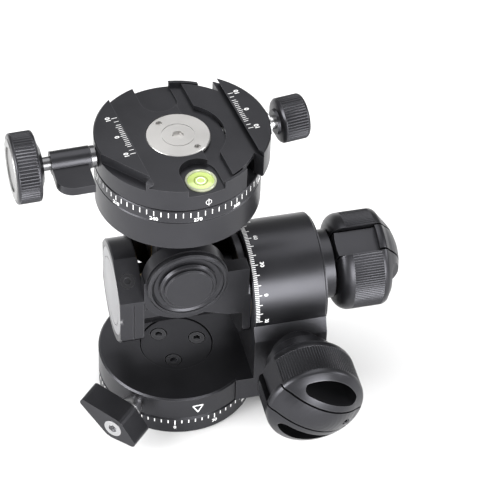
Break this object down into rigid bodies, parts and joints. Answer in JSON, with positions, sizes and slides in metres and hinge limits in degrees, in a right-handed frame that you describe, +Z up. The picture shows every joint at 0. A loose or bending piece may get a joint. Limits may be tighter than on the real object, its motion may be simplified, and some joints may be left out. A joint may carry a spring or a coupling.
{
  "type": "geared tripod head",
  "caption": "Geared tripod head with a panning base, worm-geared tilt and roll on squeeze-release knobs, and a panning dovetail clamp with a round level.",
  "frame": {"origin": "on the pan axis, at the underside of the base", "axes": "+X along the tilt axis towards the barrel and roll knob, -Y towards the operator and the tilt knob, +Z up the pan axis"},
  "size_m": [0.1467, 0.0915, 0.1338],
  "materials": {
    "black_anodised": "satin black anodised aluminium",
    "grey_anodised": "grey anodised aluminium",
    "turned_aluminium": "bright turned aluminium",
    "steel": "machined steel",
    "dark_screw": "blackened steel",
    "bright_screw": "bright steel",
    "bronze": "machined bronze",
    "nylon": "natural nylon",
    "level_liquid": "yellow-green bubble level"
  },
  "bodies": {
    "base": {"base_scale_ring": "black_anodised", "pan_spindle": "steel", "mount_insert": "steel", "spindle_screws": "steel", "hub_plate": "black_anodised", "hub_screws": "dark_screw", "pan_glide_ring": "nylon", "pan_thrust_washer": "bronze"},
    "housing": {"pan_housing": "black_anodised", "barrel_bush_left": "bronze", "barrel_bush_right": "bronze", "barrel_end_ring": "grey_anodised", "tilt_worm_bush_front": "bronze", "tilt_worm_bush_rear": "bronze", "pan_lock_shoe": "nylon"},
    "pan_lock": {"pan_lock_wing": "black_anodised", "pan_lock_stem": "steel", "pan_lock_screw": "bright_screw"},
    "arm": {"tilt_arm": "black_anodised", "tilt_trunnion": "steel", "tilt_wheel": "bronze", "arm_end_cap": "grey_anodised", "arm_side_screw": "dark_screw", "roll_bush_front": "bronze", "roll_bush_rear": "bronze", "roll_worm_bush_left": "bronze", "roll_worm_bush_right": "bronze"},
    "tilt_drive": {"tilt_worm": "steel", "tilt_knob_core": "black_anodised", "tilt_knob_set_screw": "dark_screw", "tilt_knob_springs": "steel"},
    "tilt_wing_upper": {"tilt_knob_wing_upper": "black_anodised"},
    "tilt_wing_lower": {"tilt_knob_wing_lower": "black_anodised"},
    "roll_drive": {"roll_worm": "steel", "roll_knob_core": "black_anodised", "roll_knob_set_screw": "dark_screw", "roll_knob_springs": "steel"},
    "roll_wing_upper": {"roll_knob_wing_upper": "black_anodised"},
    "roll_wing_lower": {"roll_knob_wing_lower": "black_anodised"},
    "roll_stage": {"roll_shaft": "steel", "roll_flange": "black_anodised", "roll_cap": "black_anodised", "roll_wheel": "bronze", "roll_cradle": "black_anodised", "cradle_screws": "steel", "clamp_ring": "black_anodised", "clamp_spindle": "steel", "clamp_disc": "turned_aluminium", "clamp_glide_ring": "nylon"},
    "clamp": {"clamp_body": "black_anodised", "jaw_guide_pins": "steel", "round_level": "level_liquid", "clamp_lock_pad": "nylon"},
    "jaw": {"moving_jaw": "black_anodised"},
    "jaw_drive": {"jaw_knob": "black_anodised", "jaw_screw": "steel"},
    "clamp_lock": {"clamp_lock_knob": "black_anodised", "clamp_lock_insert": "turned_aluminium", "clamp_lock_screw": "steel"},
    "clamp_lever": {"clamp_lock_lever": "black_anodised"}
  },
  "joints": [
    {"name": "base_pan", "type": "hinge", "parent": "base", "child": "housing", "pos_m": [0, 0, 0.0133], "axis": [0, 0, 1], "continuous": true},
    {"name": "pan_lock_turn", "type": "hinge", "parent": "housing", "child": "pan_lock", "pos_m": [-0.02738, -0.02916, 0.0133], "axis": [-0.6845, -0.729, 0], "range_deg": [-60, 60]},
    {"name": "tilt", "type": "hinge", "parent": "housing", "child": "arm", "pos_m": [0.03, 0, 0.04765], "axis": [-1, 0, 0], "range_deg": [-30, 90]},
    {"name": "tilt_knob_turn", "type": "hinge", "parent": "housing", "child": "tilt_drive", "pos_m": [0.041, -0.03, 0.03005], "axis": [0, -1, 0], "range_deg": [-4500, 1500]},
    {"name": "tilt_wing_upper_press", "type": "slide", "parent": "tilt_drive", "child": "tilt_wing_upper", "axis": [-0.4848, 0, -0.8746], "range_m": [0, 0.0006], "stiffness_N_per_m": 800},
    {"name": "tilt_wing_lower_press", "type": "slide", "parent": "tilt_drive", "child": "tilt_wing_lower", "axis": [0.4848, 0, 0.8746], "range_m": [0, 0.0006], "stiffness_N_per_m": 800},
    {"name": "roll", "type": "hinge", "parent": "arm", "child": "roll_stage", "pos_m": [0, 0, 0.068], "axis": [0, -1, 0], "range_deg": [-15, 15]},
    {"name": "roll_knob_turn", "type": "hinge", "parent": "arm", "child": "roll_drive", "pos_m": [0.06, 0, 0.04965], "axis": [1, 0, 0], "range_deg": [-780, 780]},
    {"name": "roll_wing_upper_press", "type": "slide", "parent": "roll_drive", "child": "roll_wing_upper", "axis": [0, -0.9336, -0.3584], "range_m": [0, 0.0006], "stiffness_N_per_m": 800},
    {"name": "roll_wing_lower_press", "type": "slide", "parent": "roll_drive", "child": "roll_wing_lower", "axis": [0, 0.9336, 0.3584], "range_m": [0, 0.0006], "stiffness_N_per_m": 800},
    {"name": "clamp_pan", "type": "hinge", "parent": "roll_stage", "child": "clamp", "pos_m": [0, 0, 0.12], "axis": [0, 0, 1], "continuous": true},
    {"name": "jaw_slide", "type": "slide", "parent": "clamp", "child": "jaw", "axis": [0.9903, 0.1392, 0], "range_m": [-0.0053, 0.001]},
    {"name": "jaw_knob_turn", "type": "hinge", "parent": "jaw", "child": "jaw_drive", "pos_m": [0.04159, 0.00585, 0.12005], "axis": [0.9903, 0.1392, 0], "range_deg": [-1950, 400]},
    {"name": "clamp_lock_turn", "type": "hinge", "parent": "clamp", "child": "clamp_lock", "pos_m": [-0.05197, -0.00181, 0.12105], "axis": [-0.9994, -0.0349, 0], "range_deg": [-180, 180]},
    {"name": "clamp_lever_lift", "type": "hinge", "parent": "clamp", "child": "clamp_lever", "pos_m": [-0.03998, -0.0014, 0.12105], "axis": [-0.9994, -0.0349, 0], "range_deg": [0, 60]}
  ],
  "couplings": [
    {"joint": "tilt_knob_turn", "follows": "tilt", "ratio": -50},
    {"joint": "roll_knob_turn", "follows": "roll", "ratio": -52},
    {"joint": "jaw_knob_turn", "follows": "jaw_slide", "rad_per_m": 6283.2}
  ]
}
